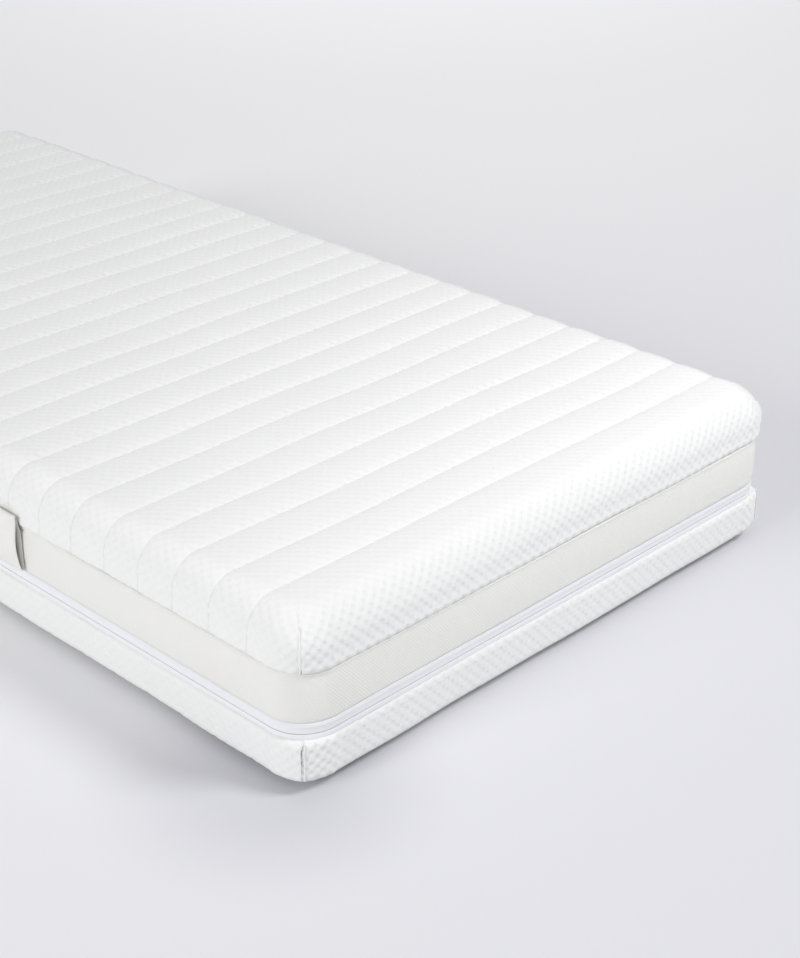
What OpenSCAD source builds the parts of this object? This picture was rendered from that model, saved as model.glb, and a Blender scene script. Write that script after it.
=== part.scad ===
// Pressure relief mattress: a quilted stretch cover, closed by a zip that runs all round it,
// over a foam core of castellated zones between two side bolsters.
// The origin is at the middle of the underside. X runs across the bed, Y along it, Z up.
// The foot end, where the patient's heels lie, is at -Y and the head end is at +Y.
// "Inset" always means a distance inwards, in plan, from the outermost face of the panels.

/* [Mattress] */
// Width across the bed
mattress_w = 1000; // [800:10:1200]
// Length along the bed
mattress_l = 2000; // [1800:10:2100]
// Height of the lying surface above the underside
mattress_h = 240; // [235:1:255]
// Radius of the vertical corners, in plan
corner_r = 65; // [62:1:80]

/* [Cover] */
// Radius of the edge round the lying surface
top_edge_r = 50; // [42:1:50]
// Radius of the edge round the underside
bottom_edge_r = 15; // [10:1:20]
// Thickness of the quilted knit
knit_t = 2; // [1.5:0.1:2]
// Thickness of the fibre wadding under the top knit
top_wadding_t = 6; // [4:0.5:6]
// Thickness of the fibre wadding under the bottom knit
bottom_wadding_t = 4; // [2:0.5:4]
// Thickness of each inner lining
lining_t = 1; // [0.5:0.1:1]
// Height of the seam between the border band and the top panel
upper_seam_z = 162; // [160:1:164]
// Height of the join between the border band and the zip
band_low_z = 88; // [86:1:94]
// How far the border band and the zip lie behind the panels
band_inset = 6; // [5:0.5:6]
// Thickness of the border band's spacer fabric
band_t = 4; // [3:0.5:4]

/* [Zip] */
// Height of the line where the two halves of the zip meet
zip_z = 72; // [72:0.5:74]
// Height of the join between the zip and the bottom panel
zip_low_z = 64; // [62:0.5:64]
// Thickness of the zip tape
tape_t = 1.2; // [0.8:0.1:1.2]
// Slit left between the halves, where the neck of the slider runs
slit_w = 1; // [0.9:0.1:1.4]
// Place of the parked slider along X, on the head end
slider_x = 360; // [300:5:370]

/* [Handles] */
// Width of a handle along the mattress
handle_w = 120; // [90:5:140]
// Distance of each handle's middle from the middle of the mattress
handle_y = 365; // [300:5:600]
// How far the loop bulges out in front of its back layer
handle_bulge = 9; // [8:0.5:12]
// Thickness of the strap
strap_t = 3; // [2:0.5:3]

/* [Core] */
// Thickness of the foam base
base_t = 80; // [70:1:82]
// Thickness of the castellated zones
zone_t = 84; // [76:1:85]
// Width of each side bolster
bolster_w = 80; // [80:5:100]
// Width of a slot between two castellations
slot_w = 8; // [6:1:12]
// Depth of the slots between the castellations
slot_d = 52; // [36:1:56]

/* [Hidden] */

half_w = mattress_w / 2;
half_l = mattress_l / 2;

// Steps round a full circle on the crowned forms.
hull_steps = 32;

// Clear gap between two layers of one body, and between the core's foams.
layer_gap = 0.4;
foam_gap = 0.5;

// The panels roll in towards the band and the zip: an arc of roll_r that ends at band_inset.
roll_r = 12;
roll_deg = acos(1 - band_inset / roll_r);
roll_h = roll_r * sin(roll_deg);

// Insets of the faces of each layer of the cover.
top_wadding_inset = knit_t + layer_gap;
top_lining_inset = top_wadding_inset + top_wadding_t + layer_gap;
bottom_wadding_inset = knit_t + layer_gap;
bottom_lining_inset = bottom_wadding_inset + bottom_wadding_t + layer_gap;
binding_t = 1.6;
band_back_inset = band_inset + band_t;

// The core and its sock.
sock_inset = 14;
sock_t = 1;
core_inset = sock_inset + sock_t + foam_gap;
core_low_z = bottom_lining_inset + lining_t + sock_t + 2 * foam_gap;
zone_low_z = core_low_z + base_t + foam_gap;
comfort_low_z = zone_low_z + zone_t + foam_gap;
core_top_z = mattress_h - top_lining_inset - lining_t - sock_t - 2 * foam_gap;
core_edge_r = 38;
zone_half_w = half_w - core_inset - bolster_w - foam_gap;

// The zip.
coil_t = 2;
coil_h = 3;
coil_inset = band_inset + tape_t + 0.2;
neck_t = 0.6;
slider_l = 18;
slider_h = 12;
slider_plate_t = 1.4;
slider_out_inset = band_inset - 0.4 - slider_plate_t;
slider_back_inset = coil_inset + coil_t + 0.3;
bail_r = 0.8;
pull_l = 26;
pull_w = 7;
pull_t = 1.2;
pull_eye_r = 1.6;
bail_inset = slider_out_inset - pull_eye_r - 0.3;
pull_clearance = 0.05;
pull_hole_r = 2;
neck_l = 8;
ear_t = 1.2;
ear_l = 3;
ear_gap = 0.3;

// The end of the chain, as distances along X from the parked slider.
tab_start = 14;
tab_l = 36;
tab_t = 1.2;
tab_gap = 0.2;
stop_start = 22;
stop_spacing = 18;
stop_l = 3;
stop_t = 1;

// The loops of the handles, as distances out from the face of the band.
strap_gap = 0.4;
loop_low_z = band_low_z + 4;
loop_top_z = upper_seam_z + 16;
loop_steps = 14;
panel_gap = 1;

cover_white = [0.95, 0.95, 0.94];
band_ivory = [0.92, 0.92, 0.88];
tape_grey = [0.91, 0.92, 0.94];
lining_white = [0.88, 0.88, 0.86];
foam_cream = [0.93, 0.88, 0.72];
foam_blue = [0.62, 0.74, 0.84];
foam_green = [0.70, 0.82, 0.70];
foam_grey = [0.72, 0.73, 0.75];
metal_white = [0.90, 0.90, 0.92];

// ---- Shared shapes -------------------------------------------------------------------------

// The mattress's outline in plan, drawn in by an inset.
module outline(inset) {
    r = corner_r - inset;
    w = half_w - inset;
    l = half_l - inset;
    union() {
        square([2 * (w - r), 2 * l], center = true);
        square([2 * w, 2 * (l - r)], center = true);
        for (sx = [-1, 1], sy = [-1, 1]) {
            translate([sx * (w - r), sy * (l - r)]) circle(r = r, $fn = 64);
        }
    }
}

// A solid with the mattress's outline, between two heights.
module slab(inset, low_z, high_z) {
    translate([0, 0, low_z]) linear_extrude(height = high_z - low_z) outline(inset);
}

// A strip of even thickness that follows the outline all the way round.
module ring(inset, thickness, low_z, high_z) {
    difference() {
        slab(inset, low_z, high_z);
        slab(inset + thickness, low_z - 1, high_z + 1);
    }
}

// A crowned form: the profile, a list of [inset, height], is carried round the outline.
module crowned(profile) {
    hull() {
        for (sx = [-1, 1], sy = [-1, 1]) {
            translate([sx * (half_w - corner_r), sy * (half_l - corner_r), 0])
                rotate_extrude($fn = hull_steps)
                    polygon(concat([for (p = profile) [corner_r - p[0], p[1]]],
                                   [[0, profile[len(profile) - 1][1]], [0, profile[0][1]]]));
        }
    }
}

// Points of an arc of a profile, as [inset, height], from one angle to another.
// Angle 0 points outwards and 90 points up.
function edge_arc(inset, z, r, from_deg, to_deg, steps) = [
    for (i = [0:steps])
        let (a = from_deg + (to_deg - from_deg) * i / steps)
        [inset + r - r * cos(a), z + r * sin(a)]
];

// Profile of a layer of the top cover that lies "inset" inside the outer face.
function top_profile(inset, past_deg) = concat(
    edge_arc(inset, upper_seam_z + roll_h, roll_r, -roll_deg - past_deg, 0, 5),
    edge_arc(inset, mattress_h - top_edge_r, top_edge_r - inset, 0, 90, 8)
);

// Profile of a layer of the bottom cover that lies "inset" inside the outer face.
function bottom_profile(inset, past_deg) = concat(
    edge_arc(inset, bottom_edge_r, bottom_edge_r - inset, -90, 0, 5),
    edge_arc(inset, zip_low_z - roll_h, roll_r, 0, roll_deg + past_deg, 5)
);

// A straight-sided cap below the lying surface, for a layer at an inset.
function cap_profile(inset, low_z, top_z, r) = concat(
    [[inset, low_z]],
    edge_arc(inset, top_z - r, r, 0, 90, 8)
);

// A straight-sided tray above the underside, for a layer at an inset.
function tray_profile(inset, low_z, high_z, r) = concat(
    edge_arc(inset, low_z + r, r, -90, 0, 5),
    [[inset, high_z]]
);

// ---- Cover: top panel ----------------------------------------------------------------------

// Knit face of the quilted top panel, open below.
module top_panel() {
    color(cover_white) difference() {
        crowned(top_profile(0, 0));
        crowned(top_profile(knit_t, 4));
    }
}

// A cap-shaped layer under the top knit.
module top_layer(inset, thickness) {
    low_z = upper_seam_z + roll_h;
    r = top_edge_r - inset;
    difference() {
        crowned(cap_profile(inset, low_z, mattress_h - inset, r));
        crowned(cap_profile(inset + thickness, low_z - 1, mattress_h - inset - thickness,
                            r - thickness));
    }
}

// Fibre wadding quilted to the top knit.
module top_wadding() {
    color(lining_white) top_layer(top_wadding_inset, top_wadding_t);
}

// Thin lining that closes the quilted layers on the inside.
module top_lining() {
    color(lining_white) top_layer(top_lining_inset, lining_t);
}

// Tape sewn over the inside of the seam between the top panel and the band.
module upper_seam_binding() {
    color(lining_white)
        ring(band_back_inset + layer_gap, binding_t, upper_seam_z - 10, upper_seam_z + 6);
}

// ---- Cover: border and zip -----------------------------------------------------------------

// Spacer-fabric band round all four sides.
module border_band() {
    color(band_ivory) ring(band_inset, band_t, band_low_z, upper_seam_z);
}

// Half of the zip tape on the band's side.
module upper_zip_tape() {
    color(tape_grey) ring(band_inset, tape_t, zip_z + slit_w / 2, band_low_z);
}

// Half of the zip tape on the bottom panel's side.
module lower_zip_tape() {
    color(tape_grey) ring(band_inset, tape_t, zip_low_z, zip_z - slit_w / 2);
}

// Coil of the upper half, sewn behind its tape.
module upper_zip_coil() {
    color(tape_grey) ring(coil_inset, coil_t, zip_z + slit_w / 2, zip_z + slit_w / 2 + coil_h);
}

// Coil of the lower half, sewn behind its tape.
module lower_zip_coil() {
    color(tape_grey) ring(coil_inset, coil_t, zip_z - slit_w / 2 - coil_h, zip_z - slit_w / 2);
}

// Two clips across the coils, behind the end tab, where the chain begins and ends.
module zip_end_stops() {
    color(metal_white) for (k = [0, 1]) {
        translate([slider_x + stop_start + k * stop_spacing,
                   half_l - slider_back_inset - stop_t, zip_z - slit_w / 2 - coil_h])
            cube([stop_l, stop_t, 2 * coil_h + slit_w]);
    }
}

// Fabric tab sewn over the two ends of the chain, beside the parked slider.
module zip_end_tab() {
    color(band_ivory)
        translate([slider_x + tab_start, half_l - band_inset + tab_gap, zip_low_z + 2])
            cube([tab_l, tab_t, band_low_z - zip_low_z - 3]);
}

// One plate of the slider's body, flat in XZ, with round ends.
module slider_plate(inset, thickness) {
    r = slider_h / 2;
    translate([slider_x, half_l - inset - thickness, zip_z]) rotate([-90, 0, 0])
        linear_extrude(height = thickness) union() {
            square([slider_l - slider_h, slider_h], center = true);
            for (s = [-1, 1]) {
                translate([s * (slider_l - slider_h) / 2, 0]) circle(r = r, $fn = 48);
            }
        }
}

// Slider body: outer plate, inner plate and the neck that joins them through the slit.
module zip_slider() {
    color(metal_white) union() {
        slider_plate(slider_out_inset, slider_plate_t);
        slider_plate(slider_back_inset, slider_plate_t);
        translate([slider_x - neck_l / 2, half_l - slider_back_inset - slider_plate_t / 2,
                   zip_z - neck_t / 2])
            cube([neck_l, slider_back_inset - slider_out_inset, neck_t]);
    }
}

// Upright pin held between two ears on the slider, on which the pull turns.
module zip_pull_bail() {
    y = half_l - bail_inset;
    span = pull_w + 2 * ear_gap;
    color(metal_white) union() {
        translate([slider_x, y, zip_z - span / 2 - ear_t])
            cylinder(r = bail_r, h = span + 2 * ear_t, $fn = 32);
        for (z = [zip_z - span / 2 - ear_t, zip_z + span / 2]) {
            translate([slider_x - ear_l / 2, half_l - slider_out_inset, z])
                cube([ear_l, slider_out_inset - bail_inset + bail_r + ear_gap, ear_t]);
        }
    }
}

// Pull tab, lying back along the closed chain, with an eye round the bail's pin.
module zip_pull() {
    y = half_l - bail_inset;
    color(metal_white) difference() {
        union() {
            translate([slider_x, y, zip_z - pull_w / 2])
                cylinder(r = pull_eye_r, h = pull_w, $fn = 32);
            translate([slider_x - pull_l, y - pull_t / 2, zip_z - pull_w / 2])
                cube([pull_l, pull_t, pull_w]);
        }
        translate([slider_x, y, zip_z - pull_w])
            cylinder(r = bail_r + pull_clearance, h = 2 * pull_w, $fn = 32);
        translate([slider_x - pull_l + 3 * pull_hole_r, y - pull_t, zip_z])
            rotate([-90, 0, 0]) cylinder(r = pull_hole_r, h = 2 * pull_t, $fn = 32);
    }
}

// ---- Cover: bottom panel -------------------------------------------------------------------

// Knit bottom panel with its low sides, open above.
module bottom_panel() {
    color(cover_white) difference() {
        crowned(bottom_profile(0, 0));
        crowned(bottom_profile(knit_t, 4));
    }
}

// A tray-shaped layer above the bottom knit.
module bottom_layer(inset, thickness) {
    high_z = zip_low_z - roll_h;
    r = bottom_edge_r - inset;
    difference() {
        crowned(tray_profile(inset, inset, high_z, r));
        crowned(tray_profile(inset + thickness, inset + thickness, high_z + 1, r - thickness));
    }
}

// Fibre wadding quilted to the bottom knit.
module bottom_wadding() {
    color(lining_white) bottom_layer(bottom_wadding_inset, bottom_wadding_t);
}

// Thin lining inside the bottom panel.
module bottom_lining() {
    color(lining_white) bottom_layer(bottom_lining_inset, lining_t);
}

// Tape sewn over the inside of the seam between the lower zip tape and the bottom panel.
module lower_seam_binding() {
    color(lining_white)
        ring(band_inset + knit_t + 2 * layer_gap, binding_t, zip_low_z - 8, zip_low_z + 1);
}

// ---- Handles -------------------------------------------------------------------------------

// Unit normal of a path at point i, to the left of its direction.
function path_normal(path, i) =
    let (a = path[max(i - 1, 0)], b = path[min(i + 1, len(path) - 1)], d = b - a)
    [-d[1], d[0]] / norm(d);

// Outline of a strip of even thickness along a path.
function strip_outline(path, thickness) = concat(
    [for (i = [0:len(path) - 1]) path[i] + path_normal(path, i) * thickness / 2],
    [for (i = [len(path) - 1:-1:0]) path[i] - path_normal(path, i) * thickness / 2]
);

// Extrudes a strip along the side of the mattress. Path points are [distance out, height].
module side_strip(path, thickness, width, sx, sy) {
    flip = sx > 0 ? 0 : 180;
    translate([sx * (half_w - band_inset), sy * handle_y, 0]) rotate([0, 0, flip])
        rotate([90, 0, 0]) translate([0, 0, -width / 2])
            linear_extrude(height = width) polygon(strip_outline(path, thickness));
}

// Back layer: flat on the band, then out over the seam and up in front of the top panel.
module handle_back(sx, sy) {
    lie = strap_gap + strap_t / 2;
    stand = band_inset + panel_gap + strap_t / 2;
    color(band_ivory)
        side_strip([[lie, loop_low_z], [lie, upper_seam_z - 8], [stand, upper_seam_z + 8],
                    [stand, loop_top_z]],
                   strap_t, handle_w, sx, sy);
}

// Front layer: folded over the top of the back layer, bulging out and down to the zip.
module handle_loop(sx, sy) {
    low_out = 2 * strap_gap + 1.5 * strap_t;
    top_out = band_inset + panel_gap + 1.5 * strap_t + strap_gap;
    fold_z = loop_top_z + strap_gap + strap_t / 2;
    front = [
        for (i = [0:loop_steps])
            let (t = i / loop_steps, bulge = handle_bulge * pow(sin(180 * t), 1.2))
            [top_out + (low_out - top_out) * t + bulge, loop_top_z + (loop_low_z - loop_top_z) * t]
    ];
    fold = [[band_inset + panel_gap, fold_z], [top_out - 1.5 * strap_gap, fold_z]];
    color(band_ivory) side_strip(concat(fold, front), strap_t, handle_w, sx, sy);
}

// Patches behind the band that spread the pull of each handle.
module handle_reinforcements() {
    patch_h = upper_seam_z - band_low_z - 14;
    color(lining_white) for (sx = [-1, 1], sy = [-1, 1]) {
        translate([sx * (half_w - band_back_inset - layer_gap - binding_t / 2), sy * handle_y,
                   band_low_z + 2 + patch_h / 2])
            cube([binding_t, handle_w + 20, patch_h], center = true);
    }
}

// ---- Core ----------------------------------------------------------------------------------

// Knitted sock that encloses the whole core.
module core_sock() {
    low_z = core_low_z - foam_gap;
    color(lining_white) difference() {
        crowned(concat([[sock_inset, low_z - sock_t]],
                       cap_profile(sock_inset, low_z, core_top_z + foam_gap + sock_t,
                                   core_edge_r + sock_t)));
        crowned(cap_profile(sock_inset + sock_t, low_z, core_top_z + foam_gap, core_edge_r));
    }
}

// Soft top slab of viscoelastic foam with a rounded upper edge.
module comfort_layer() {
    color(foam_cream) crowned(cap_profile(core_inset, comfort_low_z, core_top_z, core_edge_r));
}

// A block cut into castellations by slots along both directions.
// y_low and y_high are fractions of the core's length from the foot end.
module zone(y_low, y_high, cells_x, cells_y) {
    core_l = mattress_l - 2 * core_inset;
    y0 = -core_l / 2 + core_l * y_low + (y_low > 0 ? foam_gap / 2 : 0);
    y1 = -core_l / 2 + core_l * y_high - (y_high < 1 ? foam_gap / 2 : 0);
    slot_z = zone_low_z + zone_t - slot_d;
    difference() {
        translate([-zone_half_w, y0, zone_low_z]) cube([2 * zone_half_w, y1 - y0, zone_t]);
        for (i = [1:cells_x - 1]) {
            translate([-zone_half_w + 2 * zone_half_w * i / cells_x - slot_w / 2, y0 - 1, slot_z])
                cube([slot_w, y1 - y0 + 2, slot_d + 1]);
        }
        for (j = [1:cells_y - 1]) {
            translate([-zone_half_w - 1, y0 + (y1 - y0) * j / cells_y - slot_w / 2, slot_z])
                cube([2 * zone_half_w + 2, slot_w, slot_d + 1]);
        }
    }
}

// Softest zone, under the heels, with the smallest castellations.
module heel_zone() {
    color(foam_blue) zone(0, 0.17, 10, 5);
}

// Zone under the thighs and calves.
module thigh_zone() {
    color(foam_green) zone(0.17, 0.40, 8, 5);
}

// Firmer zone under the pelvis.
module pelvis_zone() {
    color(foam_blue) zone(0.40, 0.60, 8, 4);
}

// Zone under the back and shoulders.
module torso_zone() {
    color(foam_green) zone(0.60, 0.84, 8, 5);
}

// Zone under the head, with the widest castellations.
module head_zone() {
    color(foam_blue) zone(0.84, 1, 6, 3);
}

// Firm rail beside the zones, for sitting on the edge and getting up.
module side_bolster(sx) {
    color(foam_grey) intersection() {
        slab(core_inset, zone_low_z, zone_low_z + zone_t);
        translate([sx * (half_w - core_inset - bolster_w / 2), 0, zone_low_z + zone_t / 2])
            cube([bolster_w, mattress_l, zone_t + 2], center = true);
    }
}

// Firm base with cuts across its underside, so that the mattress follows a profiling bed.
module core_base() {
    cut_d = 20;
    cut_w = 6;
    color(foam_grey) difference() {
        slab(core_inset, core_low_z, core_low_z + base_t);
        for (f = [-0.3, -0.18, 0, 0.12, 0.24]) {
            translate([-half_w, f * mattress_l - cut_w / 2, core_low_z - 1])
                cube([mattress_w, cut_w, cut_d + 1]);
        }
    }
}

// ---- Output --------------------------------------------------------------------------------

top_panel();
top_wadding();
top_lining();
upper_seam_binding();
border_band();
upper_zip_tape();
lower_zip_tape();
upper_zip_coil();
lower_zip_coil();
zip_end_stops();
zip_end_tab();
zip_slider();
zip_pull_bail();
zip_pull();
bottom_panel();
bottom_wadding();
bottom_lining();
lower_seam_binding();
handle_reinforcements();
handle_back(-1, -1);  // handle_back_left_foot
handle_back(-1, 1);  // handle_back_left_head
handle_back(1, -1);  // handle_back_right_foot
handle_back(1, 1);  // handle_back_right_head
handle_loop(-1, -1);  // handle_loop_left_foot
handle_loop(-1, 1);  // handle_loop_left_head
handle_loop(1, -1);  // handle_loop_right_foot
handle_loop(1, 1);  // handle_loop_right_head
core_sock();
comfort_layer();
head_zone();
torso_zone();
pelvis_zone();
thigh_zone();
heel_zone();
side_bolster(-1);  // side_bolster_left
side_bolster(1);  // side_bolster_right
core_base();
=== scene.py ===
import math

import bmesh
import bpy
import numpy as np
from mathutils import Matrix, Vector


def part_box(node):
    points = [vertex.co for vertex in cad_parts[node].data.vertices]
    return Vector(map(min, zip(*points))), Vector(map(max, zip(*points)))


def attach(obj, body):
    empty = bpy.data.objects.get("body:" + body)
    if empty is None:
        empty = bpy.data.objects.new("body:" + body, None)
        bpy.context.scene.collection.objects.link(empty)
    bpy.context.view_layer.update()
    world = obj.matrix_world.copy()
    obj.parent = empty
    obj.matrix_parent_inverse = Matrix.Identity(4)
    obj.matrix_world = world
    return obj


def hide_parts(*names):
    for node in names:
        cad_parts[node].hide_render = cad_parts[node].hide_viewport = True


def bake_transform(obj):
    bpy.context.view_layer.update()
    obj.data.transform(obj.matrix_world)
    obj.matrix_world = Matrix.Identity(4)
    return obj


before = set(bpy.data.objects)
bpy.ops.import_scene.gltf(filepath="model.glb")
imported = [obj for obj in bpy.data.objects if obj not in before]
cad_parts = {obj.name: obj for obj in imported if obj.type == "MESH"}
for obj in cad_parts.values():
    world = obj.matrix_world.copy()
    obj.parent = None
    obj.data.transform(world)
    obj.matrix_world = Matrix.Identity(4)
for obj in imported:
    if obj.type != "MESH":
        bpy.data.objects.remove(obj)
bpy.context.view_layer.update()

# ---- Sizes, in metres ------------------------------------------------------------------------

MM = 0.001
panel_low, panel_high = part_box("top_panel")
HALF_W, HALF_L, TOP_Z = panel_high.x, panel_high.y, panel_high.z
UPPER_SEAM_Z = panel_low.z
ZIP_LOW_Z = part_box("bottom_panel")[1].z
BAND_LOW_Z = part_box("border_band")[0].z
BAND_INSET = HALF_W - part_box("border_band")[1].x
TAPE_FRAY = 0.15 * MM
UPPER_TAPE_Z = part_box("upper_zip_tape")[0].z - TAPE_FRAY
LOWER_TAPE_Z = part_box("lower_zip_tape")[1].z + TAPE_FRAY

CORNER_R = 65 * MM
TOP_EDGE_R = 50 * MM
BOTTOM_EDGE_R = 15 * MM
ROLL_R = 12 * MM
ROLL_DEG = math.degrees(math.acos(1 - BAND_INSET / ROLL_R))
ROLL_H = ROLL_R * math.sin(math.radians(ROLL_DEG))
HEM = 9 * MM

# The straight parts of the sides end at these distances from the middle.
STRAIGHT_X = HALF_W - CORNER_R
STRAIGHT_Y = HALF_L - CORNER_R

# Quilting: lines across the bed, and the knit's staggered waffle.
LINE_COUNT = 26
LINE_PITCH = 72 * MM
FIRST_LINE = -(LINE_COUNT - 1) / 2 * LINE_PITCH
WAFFLE_CELLS_X = 50
WAFFLE_X = 2 * STRAIGHT_X / WAFFLE_CELLS_X
WAFFLE_Y = LINE_PITCH / 4
SAMPLES_A_CELL = 4

TAU = 2 * math.pi
rng = np.random.default_rng(20)


# ---- Small tools -----------------------------------------------------------------------------

def ease(x, low, high):
    """Smooth step from 0 at low to 1 at high."""
    t = np.clip((x - low) / (high - low), 0, 1)
    return t * t * (3 - 2 * t)


def ripples(u, v, waves, short, long):
    """A smooth random field between about -1 and 1, from plane waves of seeded directions."""
    total = np.zeros(np.broadcast(u, v).shape)
    for _ in range(waves):
        length = short * (long / short) ** rng.random()
        turn = rng.random() * TAU
        phase = rng.random() * TAU
        total += np.sin(TAU / length * (u * math.cos(turn) + v * math.sin(turn)) + phase)
    return total / math.sqrt(waves)


def arc(centre, r, start, end, steps=40):
    """Points of an arc in a (distance out, height) plane, angles in degrees."""
    a = np.radians(np.linspace(start, end, steps))
    return np.stack([centre[0] + r * np.cos(a), centre[1] + r * np.sin(a)], 1)


class Profile:
    """A cross-section line, read by the distance run along it."""

    def __init__(self, *pieces):
        line = np.concatenate([np.atleast_2d(np.array(p, float)) for p in pieces])
        steps = np.hypot(*np.diff(line, axis=0).T)
        line = line[np.concatenate([[True], steps > 1e-7])]
        self.line = line
        self.run = np.concatenate([[0], np.cumsum(np.hypot(*np.diff(line, axis=0).T))])
        self.length = self.run[-1]

    def at(self, run):
        return (np.interp(run, self.run, self.line[:, 0]),
                np.interp(run, self.run, self.line[:, 1]))

def put(name, points, faces, sheet=None, smooth=True):
    """Makes an object from points and faces; sheet gives each point its place on the cloth."""
    mesh = bpy.data.meshes.new(name)
    mesh.from_pydata(points.reshape(-1, 3).tolist(), [], faces.tolist())
    if sheet is not None:
        layer = mesh.attributes.new("sheet", "FLOAT_VECTOR", "POINT")
        layer.data.foreach_set("vector", sheet.reshape(-1).astype(np.float32))
    mesh.validate()
    if smooth:
        mesh.shade_smooth()
    piece = bpy.data.objects.new(name, mesh)
    bpy.context.scene.collection.objects.link(piece)
    return piece


def grid_faces(rows, columns, wrap_rows=False, wrap_columns=False):
    """Quads of a grid of points, closed in either direction where asked."""
    r = np.arange(rows if wrap_rows else rows - 1)[:, None]
    c = np.arange(columns if wrap_columns else columns - 1)[None]
    r2, c2 = (r + 1) % rows, (c + 1) % columns
    quads = [r * columns + c, r * columns + c2, r2 * columns + c2, r2 * columns + c]
    return np.stack([q + np.zeros_like(r + c) for q in quads], -1).reshape(-1, 4)


def face_outwards(piece):
    """Turns a closed piece's faces outwards."""
    form = bmesh.new()
    form.from_mesh(piece.data)
    bmesh.ops.recalc_face_normals(form, faces=form.faces)
    form.to_mesh(piece.data)
    form.free()


def unit(v):
    return v / np.maximum(np.linalg.norm(v, axis=-1, keepdims=True), 1e-12)


def stitches(name, starts, ends, outs, width=0.7 * MM):
    """Sewing stitches as slim lozenges, each from a start to an end, lying proud of the cloth."""
    starts, ends, outs = (np.reshape(a, (-1, 3)) for a in (starts, ends, outs))
    middle = (starts + ends) / 2
    side = unit(np.cross(ends - starts, outs)) * width / 2
    lift = outs * width / 2
    ring = [middle + side, middle + lift, middle - side, middle - lift]
    points = np.stack([starts, ends] + ring, 1)
    one = np.array([[0, 2 + i, 2 + (i + 1) % 4] for i in range(4)]
                   + [[1, 2 + (i + 1) % 4, 2 + i] for i in range(4)])
    faces = (one[None] + 6 * np.arange(len(starts))[:, None, None]).reshape(-1, 3)
    return put(name, points, faces)


# ---- Materials -------------------------------------------------------------------------------

class Finish:
    """A procedural material, with short helpers for wiring its nodes."""

    def __init__(self, name, colour, roughness, sheen=0.0, metallic=0.0, specular=0.3):
        self.material = bpy.data.materials.new(name)
        self.material.use_nodes = True
        self.nodes = self.material.node_tree.nodes
        self.links = self.material.node_tree.links
        self.shader = self.nodes["Principled BSDF"]
        self.shader.inputs["Base Color"].default_value = (*colour, 1)
        self.shader.inputs["Roughness"].default_value = roughness
        self.shader.inputs["Metallic"].default_value = metallic
        self.shader.inputs["Specular IOR Level"].default_value = specular
        self.shader.inputs["Sheen Weight"].default_value = sheen
        self.shader.inputs["Sheen Roughness"].default_value = 0.5

    def feed(self, socket, value):
        if isinstance(value, bpy.types.NodeSocket):
            self.links.new(value, socket)
        else:
            socket.default_value = value

    def sheet_place(self):
        """The place on the cloth, in metres: along, down, and distance from the nearest seam."""
        node = self.nodes.new("ShaderNodeAttribute")
        node.attribute_name = "sheet"
        return node.outputs["Vector"]

    def object_place(self):
        return self.nodes.new("ShaderNodeTexCoord").outputs["Object"]

    def split(self, vector):
        node = self.nodes.new("ShaderNodeSeparateXYZ")
        self.feed(node.inputs[0], vector)
        return node.outputs

    def distance(self, vector, point):
        node = self.nodes.new("ShaderNodeVectorMath")
        node.operation = "DISTANCE"
        self.feed(node.inputs[0], vector)
        node.inputs[1].default_value = point
        return node.outputs["Value"]

    def math(self, operation, a, b=0.0):
        node = self.nodes.new("ShaderNodeMath")
        node.operation = operation
        self.feed(node.inputs[0], a)
        self.feed(node.inputs[1], b)
        return node.outputs[0]

    def wave(self, value, period, operation="COSINE"):
        return self.math(operation, self.math("MULTIPLY", value, TAU / period))

    def noise(self, vector, scale, detail=3.0, roughness=0.5):
        node = self.nodes.new("ShaderNodeTexNoise")
        self.feed(node.inputs["Vector"], vector)
        node.inputs["Scale"].default_value = scale
        node.inputs["Detail"].default_value = detail
        node.inputs["Roughness"].default_value = roughness
        return node.outputs["Fac"]

    def cells(self, vector, scale):
        node = self.nodes.new("ShaderNodeTexVoronoi")
        self.feed(node.inputs["Vector"], vector)
        node.inputs["Scale"].default_value = scale
        return node.outputs["Distance"]

    def spread(self, value, low, high, to_low=0.0, to_high=1.0):
        node = self.nodes.new("ShaderNodeMapRange")
        node.interpolation_type = "SMOOTHSTEP"
        self.feed(node.inputs["Value"], value)
        node.inputs["From Min"].default_value = low
        node.inputs["From Max"].default_value = high
        node.inputs["To Min"].default_value = to_low
        node.inputs["To Max"].default_value = to_high
        return node.outputs["Result"]

    def tint(self, factor, dark, light):
        """Colours the surface between two tones."""
        node = self.nodes.new("ShaderNodeMix")
        node.data_type = "RGBA"
        self.feed(node.inputs["Factor"], factor)
        node.inputs["A"].default_value = (*dark, 1)
        node.inputs["B"].default_value = (*light, 1)
        self.feed(self.shader.inputs["Base Color"], node.outputs["Result"])

    def bump(self, height, depth):
        """Relief of a depth in metres, added to any relief already there."""
        node = self.nodes.new("ShaderNodeBump")
        node.inputs["Strength"].default_value = 1.0
        node.inputs["Distance"].default_value = depth
        self.feed(node.inputs["Height"], height)
        if self.shader.inputs["Normal"].is_linked:
            self.links.new(self.shader.inputs["Normal"].links[0].from_socket, node.inputs["Normal"])
        self.links.new(node.outputs["Normal"], self.shader.inputs["Normal"])

    def rough(self, factor, low, high):
        self.feed(self.shader.inputs["Roughness"], self.spread(factor, 0, 1, low, high))


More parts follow.
